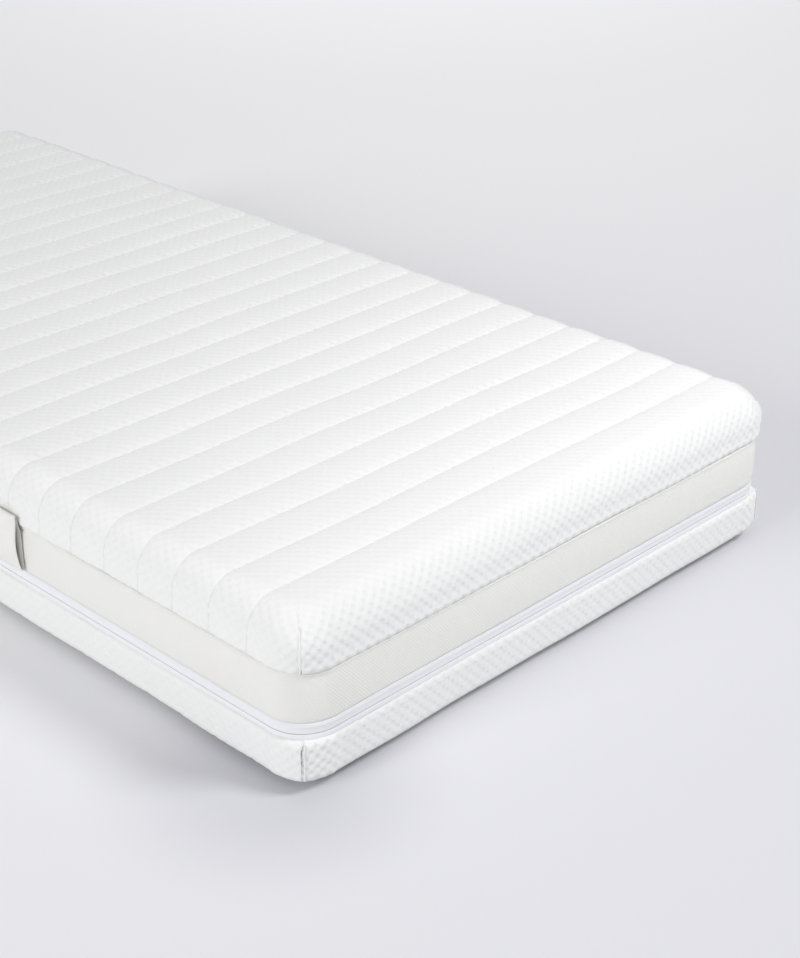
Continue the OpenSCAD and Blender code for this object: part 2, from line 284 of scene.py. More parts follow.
def quilted_knit():
    """Stretch knit: staggered waffle pits, fine loops of yarn, a little fuzz; its colour has painted shade
    in the pits, strongest on the steep end faces.
    """
    f = Finish("quilted_knit", (0.88, 0.88, 0.87), 0.85, sheen=0.25, specular=0.25)
    place = f.sheet_place()
    along, down, _ = f.split(place)
    waffle = f.math("MULTIPLY", f.wave(along, WAFFLE_X), f.wave(down, WAFFLE_Y))
    pits = f.spread(waffle, -1.0, 0.35)
    courses = f.math("MULTIPLY", f.wave(along, 1.5 * MM, "SINE"), f.wave(down, 1.1 * MM, "SINE"))
    loops = f.math("MULTIPLY_ADD", courses, 0.5)
    fuzz = f.noise(place, 900, 4)
    facing = f.split(f.nodes.new("ShaderNodeNewGeometry").outputs["Normal"])
    on_end = f.spread(f.math("ABSOLUTE", facing[1]), 0.4, 0.9, 0.55, 1.0)
    flat = f.spread(f.math("ABSOLUTE", facing[2]), 0.7, 0.98, 1.0, 0.9)
    steep = f.math("MULTIPLY", on_end, flat)
    f.bump(f.math("MULTIPLY", pits, steep), 0.8 * MM)
    f.bump(loops, 0.10 * MM)
    f.bump(fuzz, 0.10 * MM)
    mottle = f.noise(place, 14, 3)
    # Painted shade: the waffle pits are coloured darker, most where the cloth faces the ends and least on
    # the flat top; the rest of the tone is random mottle.
    painted_pit_shade = f.math("SUBTRACT", 1.0, f.math("MULTIPLY", f.math("SUBTRACT", 1.0, pits), steep))
    tone_and_painted_shade = f.math("ADD", f.math("MULTIPLY", painted_pit_shade, 0.6), f.math("MULTIPLY", mottle, 0.4))
    f.tint(tone_and_painted_shade, (0.86, 0.865, 0.85), (0.905, 0.907, 0.888))
    f.rough(fuzz, 0.78, 0.92)
    return f.material


def spacer_mesh(name="spacer_mesh", dark=(0.89, 0.885, 0.845), light=(0.96, 0.957, 0.915)):
    """Three-dimensional spacer fabric: slanted ribs over a net of small holes, with painted shade in the
    holes and between the ribs.
    """
    f = Finish(name, light, 0.85, sheen=0.2, specular=0.25)
    place = f.sheet_place()
    along, down, _ = f.split(place)
    slant = f.math("ADD", f.math("MULTIPLY", along, 0.76), f.math("MULTIPLY", down, 0.65))
    ribs = f.math("MULTIPLY_ADD", f.wave(slant, 3.7 * MM), 0.5)
    net = f.math("MULTIPLY", f.wave(along, 2.6 * MM), f.wave(down, 3.0 * MM))
    holes = f.spread(net, -1.0, -0.1)
    fuzz = f.noise(place, 700, 4)
    f.bump(ribs, 0.25 * MM)
    f.bump(holes, 0.5 * MM)
    f.bump(fuzz, 0.15 * MM)
    # Painted shade: the holes and the troughs between the ribs are coloured darker, over a random tone.
    tone_and_painted_shade = f.math("ADD", f.math("MULTIPLY", holes, 0.6),
                   f.math("ADD", f.math("MULTIPLY", f.noise(place, 20, 3), 0.2),
                          f.math("MULTIPLY", f.spread(f.wave(slant, 3.7 * MM), -1, 1), 0.2)))
    f.tint(tone_and_painted_shade, dark, light)
    f.rough(fuzz, 0.8, 0.95)
    return f.material


def woven_tape():
    """Close-woven herringbone tape."""
    f = Finish("woven_tape", (0.84, 0.85, 0.90), 0.65, sheen=0.15, specular=0.35)
    place = f.sheet_place()
    along, down, _ = f.split(place)
    weft = f.wave(f.math("ADD", along, f.math("MULTIPLY", f.wave(down, 3.2 * MM), 0.4 * MM)), 1.2 * MM)
    warp = f.wave(down, 0.8 * MM)
    fuzz = f.noise(place, 600, 3)
    f.bump(f.math("MULTIPLY_ADD", f.math("MULTIPLY", weft, warp), 0.5), 0.12 * MM)
    f.bump(fuzz, 0.08 * MM)
    f.tint(fuzz, (0.89, 0.895, 0.92), (0.93, 0.935, 0.96))
    f.rough(fuzz, 0.55, 0.75)
    return f.material


def sewing_thread(name="sewing_thread", colour=(0.83, 0.83, 0.82)):
    """Twisted polyester thread."""
    f = Finish(name, colour, 0.55, sheen=0.1)
    place = f.object_place()
    twist = f.wave(f.math("ADD", f.split(place)[0], f.split(place)[1]), 0.5 * MM)
    f.bump(f.math("MULTIPLY_ADD", twist, 0.5), 0.05 * MM)
    f.tint(f.noise(place, 300, 2), tuple(c * 0.94 for c in colour), colour)
    return f.material


def plain_cloth(name, dark, light, yarn=0.9 * MM):
    """Thin plain-woven or knitted cloth on a CAD node."""
    f = Finish(name, light, 0.8, sheen=0.15)
    place = f.object_place()
    x, y, z = f.split(place)
    weave = f.math("MULTIPLY", f.wave(f.math("ADD", x, z), yarn), f.wave(f.math("ADD", y, z), yarn))
    f.bump(f.math("MULTIPLY_ADD", weave, 0.5), 0.1 * MM)
    f.bump(f.noise(place, 500, 4), 0.1 * MM)
    f.tint(f.noise(place, 40, 4), dark, light)
    f.rough(f.noise(place, 300, 2), 0.7, 0.9)
    return f.material


def fibre_wadding():
    """Lofty crossed fibres, with painted shade where the tufts sink."""
    f = Finish("fibre_wadding", (0.88, 0.88, 0.87), 0.9, sheen=0.3)
    place = f.object_place()
    tuft = f.noise(place, 120, 6, 0.7)
    f.bump(tuft, 1.2 * MM)
    f.bump(f.noise(place, 900, 5, 0.7), 0.4 * MM)
    # Painted shade: the colour is darker where the tufts sink.
    f.tint(tuft, (0.80, 0.80, 0.79), (0.9, 0.9, 0.89))
    f.rough(tuft, 0.85, 1.0)
    return f.material


def foam(name, dark, light, cell):
    """Open-cell foam: small pits of uneven size with painted shade in them, cut faces slightly mottled."""
    f = Finish(name, light, 0.85, specular=0.2)
    place = f.object_place()
    pits = f.spread(f.cells(place, 1 / cell), 0.05, 0.55)
    f.bump(pits, cell * 0.35)
    f.bump(f.noise(place, 0.4 / cell, 4), cell * 0.5)
    # Painted shade: the pits are coloured darker, over a random mottle.
    tone_and_painted_shade = f.math("ADD", f.math("MULTIPLY", pits, 0.6), f.math("MULTIPLY", f.noise(place, 9, 4), 0.4))
    f.tint(tone_and_painted_shade, dark, light)
    f.rough(pits, 0.8, 0.95)
    return f.material


def nylon_coil():
    """Coil of a zip, seen as close ridges across its run, with painted shade in the grooves between the
    turns.
    """
    f = Finish("nylon_coil", (0.80, 0.81, 0.84), 0.35, specular=0.5)
    place = f.object_place()
    x, y, _ = f.split(place)
    turns = f.math("MULTIPLY_ADD", f.wave(f.math("ADD", x, y), 1.5 * MM), 0.5)
    f.bump(turns, 0.6 * MM)
    # Painted shade: the grooves between the turns are coloured darker.
    f.tint(turns, (0.66, 0.67, 0.71), (0.83, 0.84, 0.87))
    f.rough(f.noise(place, 500, 2), 0.3, 0.45)
    return f.material


def enamelled_metal():
    """White enamel on cast zinc, rubbed where it is handled."""
    f = Finish("enamelled_metal", (0.82, 0.82, 0.83), 0.3, metallic=0.15, specular=0.6)
    place = f.object_place()
    scuffs = f.noise(place, 260, 6, 0.7)
    f.bump(f.noise(place, 700, 3), 0.04 * MM)
    f.bump(f.spread(scuffs, 0.58, 0.7), 0.03 * MM)
    f.tint(f.spread(scuffs, 0.56, 0.72), (0.84, 0.84, 0.85), (0.62, 0.62, 0.63))
    f.rough(scuffs, 0.22, 0.5)
    return f.material


def dress(node, material):
    """Gives a CAD node its finish."""
    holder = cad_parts[node]
    holder.data.materials.clear()
    holder.data.materials.append(material)


def finish_piece(piece, material, body="root"):
    piece.data.materials.append(material)
    if body is not None:
        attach(piece, body)
    return piece


KNIT = quilted_knit()
MESH_CLOTH = spacer_mesh()
TAPE = woven_tape()
THREAD = sewing_thread()


# ---- Camera, light and floor -----------------------------------------------------------------

CAMERA_PLACE = (-1.757, -2.403, 1.4105)
CAMERA_HEADING = 45.53
CAMERA_DIP = 27.16
CAMERA_ROLL = 0.09
CAMERA_LENS = 70.03


def make_camera():
    """Looks across the foot-end corner; the heading turns from +Y towards +X."""
    data = bpy.data.cameras.new("camera")
    data.sensor_width = 36
    data.lens = CAMERA_LENS
    data.dof.use_dof = False
    camera = bpy.data.objects.new("camera", data)
    bpy.context.scene.collection.objects.link(camera)
    heading, dip, roll = (math.radians(a) for a in (CAMERA_HEADING, CAMERA_DIP, CAMERA_ROLL))
    level_x, level_y = math.sin(heading), math.cos(heading)
    ahead = Vector((level_x * math.cos(dip), level_y * math.cos(dip), -math.sin(dip)))
    level = ahead.cross(Vector((0, 0, 1))).normalized()
    up = level.cross(ahead)
    right = level * math.cos(roll) + up * math.sin(roll)
    above = up * math.cos(roll) - level * math.sin(roll)
    turned = Matrix((right, above, -ahead)).transposed().to_4x4()
    camera.matrix_world = Matrix.Translation(CAMERA_PLACE) @ turned
    bpy.context.scene.camera = camera


SKY_POWER = 0.55
FLOOR_SIZE = 60
FLOOR_DROP = 11 * MM
MAIN_PLACE = (0.7, -2.4, 2.3)
BACK_PLACE = (3.6, 2.8, 3.6)
BACK_POWER = 115
# Painted shadow: the floor's colour is darker in a round patch at the near corner.
SHADE_PLACE = (-0.49, -0.93, 0)
MAIN_SIZE = 0.9
MAIN_POWER = 36


def soft_light(name, heading, height, spread, power):
    """A wide light from far off; the heading turns from +Y towards +X."""
    light = bpy.data.lights.new(name, "SUN")
    light.energy = power
    light.angle = math.radians(spread)
    lamp = bpy.data.objects.new(name, light)
    bpy.context.scene.collection.objects.link(lamp)
    heading, height = math.radians(heading), math.radians(height)
    towards = Vector((math.sin(heading) * math.cos(height), math.cos(heading) * math.cos(height),
                      math.sin(height)))
    lamp.rotation_euler = towards.to_track_quat("Z", "Y").to_euler()


def make_studio():
    """A pale floor with painted light and shade in its colour, an even surround, a softbox, a low light on
    the left and one on the floor behind.
    """
    soft_light("left", 276, 22, 24, 1.15)
    box = bpy.data.lights.new("softbox", "AREA")
    box.shape = "DISK"
    box.size = MAIN_SIZE
    box.energy = MAIN_POWER
    holder = bpy.data.objects.new("softbox", box)
    bpy.context.scene.collection.objects.link(holder)
    aim = Vector(MAIN_PLACE) - Vector((-0.1, -0.7, 0.2))
    holder.matrix_world = Matrix.Translation(MAIN_PLACE) @ aim.to_track_quat("Z", "Y").to_matrix().to_4x4()

    back = bpy.data.lights.new("back", "SPOT")
    back.spot_size = math.radians(100)
    back.spot_blend = 1.0
    back.shadow_soft_size = 0.5
    back.energy = BACK_POWER
    far = bpy.data.objects.new("back", back)
    bpy.context.scene.collection.objects.link(far)
    far.location = BACK_PLACE

    world = bpy.data.worlds.new("surround")
    bpy.context.scene.world = world
    world.use_nodes = True
    backdrop = world.node_tree.nodes["Background"]
    backdrop.inputs["Color"].default_value = (0.97, 0.97, 1.0, 1)
    backdrop.inputs["Strength"].default_value = SKY_POWER

    corners = np.array([[-1, -1, 0], [1, -1, 0], [1, 1, 0], [-1, 1, 0]]) * FLOOR_SIZE / 2
    floor = put("floor", corners - np.array([0, 0, FLOOR_DROP]), np.array([[0, 1, 2, 3]]), smooth=False)
    f = Finish("pale_floor", (0.80, 0.80, 0.86), 0.7, specular=0.2)
    place = f.object_place()
    f.bump(f.noise(place, 60, 3), 0.05 * MM)
    # Painted light and shade: the floor's colour is darker near the foot of the softbox and lighter far
    # from it.
    painted_light_far_from_softbox = f.spread(f.distance(place, (MAIN_PLACE[0], MAIN_PLACE[1], 0)), 0.4, 3.4)
    # Painted shadow: a darker round patch on the floor at the near corner.
    corner = f.spread(f.distance(place, SHADE_PLACE), 0.04, 0.27, 0.42, 0.0)
    f.tint(f.math("SUBTRACT", painted_light_far_from_softbox, corner), (0.62, 0.62, 0.66), (0.99, 0.99, 1.0))
    floor.data.materials.append(f.material)


make_camera()
make_studio()
bpy.context.scene.view_settings.view_transform = "Standard"


# ---- Quilted covers --------------------------------------------------------------------------

def waffle(along, down):
    """The knit's relief from 0 in a pit to 1 on a puff."""
    crossed = np.cos(TAU * along / WAFFLE_X) * np.cos(TAU * down / WAFFLE_Y)
    return 1 - (0.5 - 0.5 * crossed) ** 1.8


def spaced(low, high, count):
    return np.linspace(low, high, count + 1)


def cover_lines(straight, profile, count, skirt_count):
    """Grid lines across a cover: even on the straight, then down each skirt."""
    skirt = spaced(0, profile.length, skirt_count)[1:]
    return np.concatenate([-straight - skirt[::-1], spaced(-straight, straight, count), straight + skirt])


def lengthwise_lines(profile, skirt_count, offsets):
    """Grid lines along the bed, with some close beside every quilting line."""
    first, last = FIRST_LINE, -FIRST_LINE
    channels = np.arange(LINE_COUNT - 1)[:, None] * LINE_PITCH + first
    inner = (channels + offsets[None]).ravel()
    skirt = spaced(0, profile.length, skirt_count)[1:]
    beside = offsets[1]
    end = spaced(last + beside, STRAIGHT_Y, round((STRAIGHT_Y - last) / offsets[2]))
    return np.concatenate([-STRAIGHT_Y - skirt[::-1], -end[::-1], inner, [last], end,
                           STRAIGHT_Y + skirt])


# How far round a corner the cloth is drawn out towards its seam, as an angle.
PINCH_SPREAD = math.radians(20)
# Over this run past the flat part, the cloth's place is read from its seams instead.
PLACE_BLEND = 45 * MM


class Cover:
    """A sheet wrapped over the mattress: flat in the middle, down over its rounded edges."""

    def __init__(self, profile, p_lines, q_lines, flat_run, outward, pinch):
        self.profile = profile
        P, Q = np.meshgrid(p_lines, q_lines)
        self.P, self.Q = P, Q
        over_p = np.maximum(abs(P) - STRAIGHT_X, 0)
        over_q = np.maximum(abs(Q) - STRAIGHT_Y, 0)
        u, v = over_p / profile.length, over_q / profile.length
        disc_u = u * np.sqrt(1 - v * v / 2)
        disc_v = v * np.sqrt(1 - u * u / 2)
        self.run = np.hypot(disc_u, disc_v) * profile.length
        self.turn = np.arctan2(disc_v, disc_u)
        self.out, z = profile.at(self.run)
        seam = np.exp(-abs(self.turn - math.pi / 4) / PINCH_SPREAD) * ((over_p > 0) & (over_q > 0))
        self.out = self.out * (1 + seam * pinch(self.run))
        x = np.sign(P) * (np.minimum(abs(P), STRAIGHT_X) + self.out * np.cos(self.turn))
        y = np.sign(Q) * (np.minimum(abs(Q), STRAIGHT_Y) + self.out * np.sin(self.turn))
        self.points = np.stack([x, y, z], -1)
        self.in_corner = (over_p > 0) & (over_q > 0)
        self.normals = self.find_normals() * outward
        self.outward = outward
        self.flat_run = flat_run
        self.along, self.down = self.cloth_place(x, y)
        line = np.clip(np.round((Q - FIRST_LINE) / LINE_PITCH), 0, LINE_COUNT - 1)
        self.channel = np.clip(np.floor((Q - FIRST_LINE) / LINE_PITCH), -1, LINE_COUNT - 1) + 1
        self.from_line = abs(Q - FIRST_LINE - line * LINE_PITCH)

    def find_normals(self):
        over = np.gradient(self.points, axis=1)
        up = np.gradient(self.points, axis=0)
        return unit(np.cross(over, up))

    def cloth_place(self, x, y):
        """Where each point is on the cloth; the skirts meet in a seam at each corner."""
        ends = self.turn > math.pi / 4
        side_p = np.where(ends, STRAIGHT_X + self.out * (math.pi / 2 - self.turn), STRAIGHT_X + self.run)
        side_q = np.where(ends, STRAIGHT_Y + self.run, STRAIGHT_Y + self.out * self.turn)
        past = ease(self.run, self.flat_run, self.flat_run + PLACE_BLEND)
        along = (1 - past) * x + past * np.sign(self.P) * side_p
        down = (1 - past) * y + past * np.sign(self.Q) * side_q
        return np.where(self.in_corner, along, self.P), np.where(self.in_corner, down, self.Q)

    def from_corner_seam(self):
        """Distance round the corner from its middle, or a large number away from the corners."""
        return np.where(self.in_corner, abs(self.turn - math.pi / 4) * np.maximum(self.out, 1 * MM), 1.0)

    def build(self, name, relief, sideways=None):
        points = self.points + self.normals * relief[..., None]
        if sideways is not None:
            points[..., 1] += sideways
        rows, columns = self.P.shape
        faces = grid_faces(rows, columns)
        if self.outward < 0:
            faces = faces[:, ::-1]
        sheet = np.stack([self.along, self.down, self.from_line], -1)
        self.final = points
        return put(name, points, faces, sheet)


# Top cover.
GROOVE = 4.6 * MM
GROOVE_WIDTH = 8.5 * MM
CROWN = 1.6 * MM
WAFFLE_DEPTH = 1.7 * MM
TOP_SLACK = 3.6 * MM
SKIRT_SAMPLES = 32

top_profile = Profile(
    [(0, TOP_Z), (CORNER_R - TOP_EDGE_R, TOP_Z)],
    arc((CORNER_R - TOP_EDGE_R, TOP_Z - TOP_EDGE_R), TOP_EDGE_R, 90, 0),
    arc((CORNER_R - ROLL_R, UPPER_SEAM_Z + ROLL_H), ROLL_R, 0, -ROLL_DEG),
    [(CORNER_R - BAND_INSET - HEM, UPPER_SEAM_Z + 0.4 * MM)],
)
top_flat_run = CORNER_R - TOP_EDGE_R
top_seam_run = top_profile.length - HEM
DART_TOP = top_flat_run + 0.9 * TOP_EDGE_R


def quilting_relief(cover, groove, width, crown, channel_spread):
    """Puffed channels between sharp stitched lines, each a little different from the next."""
    height = 1 + channel_spread * (rng.random(LINE_COUNT + 1) - 0.5)
    each = height[cover.channel.astype(int)]
    gap = np.minimum(cover.from_line / (LINE_PITCH / 2), 1)
    puff = groove * (1 - np.exp(-cover.from_line / width)) * each
    puckers = ripples(cover.along, cover.channel * 0.37, 14, 11 * MM, 45 * MM)
    near = np.exp(-cover.from_line / (9 * MM)) * (1 - np.exp(-cover.from_line / (2 * MM)))
    return puff - groove + crown * (1 - (1 - gap) ** 2) + 0.9 * MM * puckers * near


def top_slack(run):
    """How far the sides of the top cover lie inside the CAD panel."""
    return TOP_SLACK * ease(run, top_flat_run, top_flat_run + 60 * MM) * (
        1 - ease(run, top_seam_run - 20 * MM, top_seam_run))


def top_pinch(run):
    """How much further out the corner seam of the top cover stands, as a share."""
    return 0.10 * ease(run, top_flat_run + 8 * MM, top_flat_run + 60 * MM) * (
        1 - 0.6 * ease(run, top_seam_run - 30 * MM, top_seam_run))


def make_top_cover():
    """Knit, wadding and lining quilted together, wrapped over the lying surface."""
    cell_lines = WAFFLE_CELLS_X * SAMPLES_A_CELL
    step = WAFFLE_Y / SAMPLES_A_CELL
    offsets = np.concatenate([[0, 1.5 * MM], np.arange(step, LINE_PITCH - step / 2, step),
                              [LINE_PITCH - 1.5 * MM]])
    cover = Cover(top_profile, cover_lines(STRAIGHT_X, top_profile, cell_lines, SKIRT_SAMPLES),
                  lengthwise_lines(top_profile, SKIRT_SAMPLES, offsets), top_flat_run, 1, top_pinch)
    above_hem = 1 - ease(cover.run, top_seam_run - 14 * MM, top_seam_run - 2 * MM)
    past_edge = ease(cover.run, top_flat_run - 12 * MM, top_flat_run + 50 * MM)
    relief = quilting_relief(cover, GROOVE, GROOVE_WIDTH, CROWN, 0.35)
    relief *= (0.35 + 0.65 * above_hem) * (1 - 0.7 * past_edge)
    tension = 1 - 0.6 * np.exp(-cover.from_line / (6 * MM))
    before_hem = 1 - ease(cover.run, top_seam_run - 6 * MM, top_seam_run)
    on_end = ease(abs(np.sin(cover.turn)), 0.45, 0.9)
    puffed = 0.2 + (0.3 + 0.4 * on_end) * ease(cover.run, top_flat_run - 5 * MM, top_flat_run + 45 * MM)
    relief += WAFFLE_DEPTH * (waffle(cover.along, cover.down) - 0.7) * puffed * tension * before_hem
    relief += 0.8 * MM * ripples(cover.points[..., 0], cover.points[..., 1], 7, 0.16, 0.7)
    on_side = ease(cover.run, top_flat_run, top_flat_run + 60 * MM)
    relief = np.minimum(relief, 3 * MM * (1 - on_side) + 1.2 * MM) - top_slack(cover.run)
    # The dart at each corner: a sewn crease that ends in a small pinch near the top.
    aside = cover.from_corner_seam()
    down_dart = ease(cover.run, DART_TOP, DART_TOP + 12 * MM)
    relief -= 2.6 * MM * np.exp(-aside / (3.2 * MM)) * down_dart * before_hem
    relief -= 2.4 * MM * np.exp(-(aside / (7 * MM)) ** 2 - ((cover.run - DART_TOP) / (7 * MM)) ** 2)
    wander = 1.3 * MM * ripples(cover.points[..., 0], cover.Q * 0.6, 6, 0.18, 0.6)
    sideways = wander * np.exp(-cover.from_line / (20 * MM)) * (1 - ease(abs(cover.Q), 0.89, 0.93))
    piece = cover.build("quilted_top_cover", relief, sideways)
    finish_piece(piece, KNIT)
    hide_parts("top_panel", "top_wadding")
    return cover


top_cover = make_top_cover()


def quilting_stitches(name, cover, last_run):
    """A run of stitches down every quilting line."""
    normals = unit(cover.normals)
    starts, ends, outs = [], [], []
    for k in range(LINE_COUNT):
        row = np.argmin(abs(cover.Q[:, 0] - FIRST_LINE - k * LINE_PITCH))
        inside = np.where(cover.run[row] < last_run)[0]
        line = cover.final[row, inside]
        out = normals[row, inside]
        step = line[1:] - line[:-1]
        lift = out[1:] * 0.35 * MM
        starts.append(line[:-1] + step * 0.12 + lift)
        ends.append(line[1:] - step * 0.12 + lift)
        outs.append(out[1:])
    piece = stitches(name, *(np.concatenate(a) for a in (starts, ends, outs)))
    return finish_piece(piece, THREAD)


quilting_stitches("top_quilting_stitches", top_cover, top_seam_run - 3 * MM)

# Bottom cover.
bottom_profile = Profile(
    [(0, 0), (CORNER_R - BOTTOM_EDGE_R, 0)],
    arc((CORNER_R - BOTTOM_EDGE_R, BOTTOM_EDGE_R), BOTTOM_EDGE_R, -90, 0),
    arc((CORNER_R - ROLL_R, ZIP_LOW_Z - ROLL_H), ROLL_R, 0, ROLL_DEG),
    [(CORNER_R - BAND_INSET - HEM, ZIP_LOW_Z - 0.4 * MM)],
)
bottom_flat_run = CORNER_R - BOTTOM_EDGE_R
bottom_seam_run = bottom_profile.length - HEM
BOTTOM_GROOVE = 2.0 * MM
BOTTOM_SLACK = 2.2 * MM


def bottom_slack(run):
    """How far the sides of the bottom cover lie inside the CAD panel."""
    return BOTTOM_SLACK * ease(run, bottom_flat_run - 4 * MM, bottom_flat_run + 14 * MM) * (
        1 - ease(run, bottom_seam_run - 14 * MM, bottom_seam_run))


def bottom_pinch(run):
    """How much further out the corner seam of the bottom cover stands, as a share."""
    return 0.16 * ease(run, bottom_flat_run - 20 * MM, bottom_flat_run + 24 * MM)


def make_bottom_cover():
    """The bottom panel, lying flat on the bed, with its low quilted sides."""
    offsets = np.concatenate([[0, 1.5 * MM], np.arange(1, 8) * LINE_PITCH / 8, [LINE_PITCH - 1.5 * MM]])
    cover = Cover(bottom_profile, cover_lines(STRAIGHT_X, bottom_profile, 94, 36),
                  lengthwise_lines(bottom_profile, 36, offsets), bottom_flat_run, -1, bottom_pinch)
    on_side = ease(cover.run, bottom_flat_run - 4 * MM, bottom_flat_run + 14 * MM)
    before_hem = 1 - ease(cover.run, bottom_seam_run - 6 * MM, bottom_seam_run)
    relief = quilting_relief(cover, BOTTOM_GROOVE, 5 * MM, 0.6 * MM, 0.2)
    relief *= before_hem * (1 - 0.8 * on_side)
    depth = (1.0 + 0.5 * ease(abs(np.sin(cover.turn)), 0.45, 0.9)) * MM
    relief += depth * (waffle(cover.along, cover.down) - 0.8) * on_side * before_hem
    round_run = cover.points[..., 0] + cover.points[..., 1]
    relief += 0.6 * MM * ripples(round_run, cover.run, 6, 0.08, 0.5) * on_side
    aside = cover.from_corner_seam()
    relief -= 1.6 * MM * np.exp(-aside / (3.0 * MM)) * on_side * before_hem
    relief -= bottom_slack(cover.run)
    relief = np.where(on_side > 0, relief, np.minimum(relief, 0))
    piece = cover.build("quilted_bottom_cover", np.minimum(relief, 1.5 * MM))
    # Nothing goes below the floor of the CAD box.
    vertices = piece.data.vertices
    places = np.zeros(len(vertices) * 3)
    vertices.foreach_get("co", places)
    places[2::3] = np.maximum(places[2::3], 0)
    vertices.foreach_set("co", places)
    finish_piece(piece, KNIT)
    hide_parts("bottom_panel", "bottom_wadding")


make_bottom_cover()


def corner_seams(name, profile, pinch, slack, first_run, last_run, width, sink, beside=0.0):
    """A rolled seam up each corner, where the two sheets of a panel meet."""
    steps, sides = 26, 8
    run = np.linspace(first_run, last_run, steps)
    out, z = profile.at(run)
    line = np.stack([out * (1 + pinch(run)), z], 1)
    ahead = unit(np.gradient(line, axis=0))
    outward = np.stack([ahead[:, 1], -ahead[:, 0]], 1)
    if outward[len(run) // 2, 0] < 0:
        outward = -outward
    slim = np.sin(np.pi * np.linspace(0.06, 0.94, steps)) ** 0.35
    pieces = []
    for sx in (-1, 1):
        for sy in (-1, 1):
            diagonal = np.array([sx, sy]) / math.sqrt(2)
            tangent = np.array([-sy, sx]) / math.sqrt(2)
            ring = []
            for a in np.linspace(0, TAU, sides, endpoint=False):
                aside = width / 2 * math.cos(a) * slim
                lift = (width * 0.42 * math.sin(a) - sink) * slim - slack(run)
                spot = line + outward * lift[:, None]
                flat = np.array([sx * STRAIGHT_X, sy * STRAIGHT_Y]) + spot[:, :1] * diagonal
                flat = flat + (aside[:, None] + beside) * tangent
                ring.append(np.concatenate([flat, spot[:, 1:]], 1))
            pieces.append(np.stack(ring, 1))
    faces = grid_faces(steps, sides, wrap_columns=True)
    faces = np.concatenate([faces + i * steps * sides for i in range(4)])
    points = np.stack(pieces)
    piece = put(name, points, faces, points)
    face_outwards(piece)
    return finish_piece(piece, KNIT)


corner_seams("top_corner_seams", top_profile, top_pinch, top_slack, DART_TOP,
             top_seam_run - 1 * MM, 3.0 * MM, 1.6 * MM)
for name, beside in (("first", -2.6 * MM), ("second", 2.6 * MM)):
    corner_seams(f"bottom_corner_seams_{name}", bottom_profile, bottom_pinch, bottom_slack,
                 bottom_flat_run + 3 * MM, bottom_seam_run - 1 * MM, 2.2 * MM, 1.0 * MM, beside)


# ---- Border band and zip ---------------------------------------------------------------------

def perimeter(step, corner_steps):
    """Round the mattress from the foot of the right side: base points, outward directions, run."""
    sides = [((STRAIGHT_X, -STRAIGHT_Y), (0, 1)), ((STRAIGHT_X, STRAIGHT_Y), (-1, 0)),
             ((-STRAIGHT_X, STRAIGHT_Y), (0, -1)), ((-STRAIGHT_X, -STRAIGHT_Y), (1, 0))]
    bases, turns = [], []
    for i, (start, way) in enumerate(sides):
        length = 2 * (STRAIGHT_Y if way[0] == 0 else STRAIGHT_X)
        count = round(length / step)
        run = np.linspace(0, length, count, endpoint=False)
        bases.append(np.array(start) + run[:, None] * np.array(way))
        turns.append(np.full(count, i * math.pi / 2))
        end = np.array(start) + length * np.array(way)
        bases.append(np.repeat(end[None], corner_steps, 0))
        turns.append(i * math.pi / 2 + np.linspace(0, math.pi / 2, corner_steps, endpoint=False))
    base, turn = np.concatenate(bases), np.concatenate(turns)
    out = np.stack([np.cos(turn), np.sin(turn)], 1)
    edge = base + out * (CORNER_R - BAND_INSET)
    gaps = np.linalg.norm(np.diff(edge, axis=0, append=edge[:1]), axis=1)
    return base, out, np.concatenate([[0], np.cumsum(gaps)[:-1]]), gaps.sum()


def ring_strip(name, section, material, step=7 * MM, corner_steps=24, sway=None):
    """Carries a closed section, as (inset, height), round the mattress."""
    base, out, run, total = perimeter(step, corner_steps)
    inset, z = np.array(section, float).T
    reach = np.broadcast_to(CORNER_R - inset[None], (len(run), len(inset))).copy()
    height = np.broadcast_to(z[None], reach.shape).copy()
    if sway is not None:
        shift_out, shift_up = sway(run[:, None] / total * TAU, height)
        reach += shift_out
        height += shift_up
    flat = base[:, None] + out[:, None] * reach[..., None]
    points = np.concatenate([flat, height[..., None]], -1)
    gaps = np.hypot(np.diff(inset, prepend=inset[:1]), np.diff(z, prepend=z[:1]))
    down = np.broadcast_to(np.cumsum(gaps)[None], reach.shape)
    sheet = np.stack([np.broadcast_to(run[:, None], reach.shape), down, np.zeros_like(reach)], -1)
    piece = put(name, points, grid_faces(*reach.shape, wrap_rows=True, wrap_columns=True), sheet)
    face_outwards(piece)
    return finish_piece(piece, material), total


def loop_wave(turn, amount, waves):
    """A gentle wander that closes on itself round the mattress."""
    total = np.zeros_like(turn)
    for count in waves:
        total = total + np.sin(turn * count + rng.random() * TAU) * (0.6 + 0.8 * rng.random())
    return amount * total / math.sqrt(len(waves))


def band_section():
    """Bowed outer face with a soft rolled upper edge, and a plain inner face."""
    high, low = UPPER_SEAM_Z - 0.3 * MM, BAND_LOW_Z
    rise = np.linspace(0, 1, 16)
    bow = BAND_INSET - 2.8 * MM * np.sin(np.pi * rise) ** 0.6
    face = np.stack([bow, low + (high - 5 * MM - low) * rise], 1)
    lip = arc((BAND_INSET + 1.6 * MM, high - 3.4 * MM), 3.4 * MM, 160, 70, 9)
    back = np.stack([np.full(8, BAND_INSET + 4 * MM), np.linspace(high, low, 8)], 1)
    return np.concatenate([face, lip, back])


def band_sway(turn, height):
    middle = np.sin(np.pi * np.clip((height - BAND_LOW_Z) / (UPPER_SEAM_Z - BAND_LOW_Z), 0, 1))
    shift_out = loop_wave(turn, 0.6 * MM, (5, 9, 14, 23, 37)) * (0.3 + middle)
    shift_up = loop_wave(turn, 0.3 * MM, (4, 7, 13)) * middle
    return shift_out, shift_up


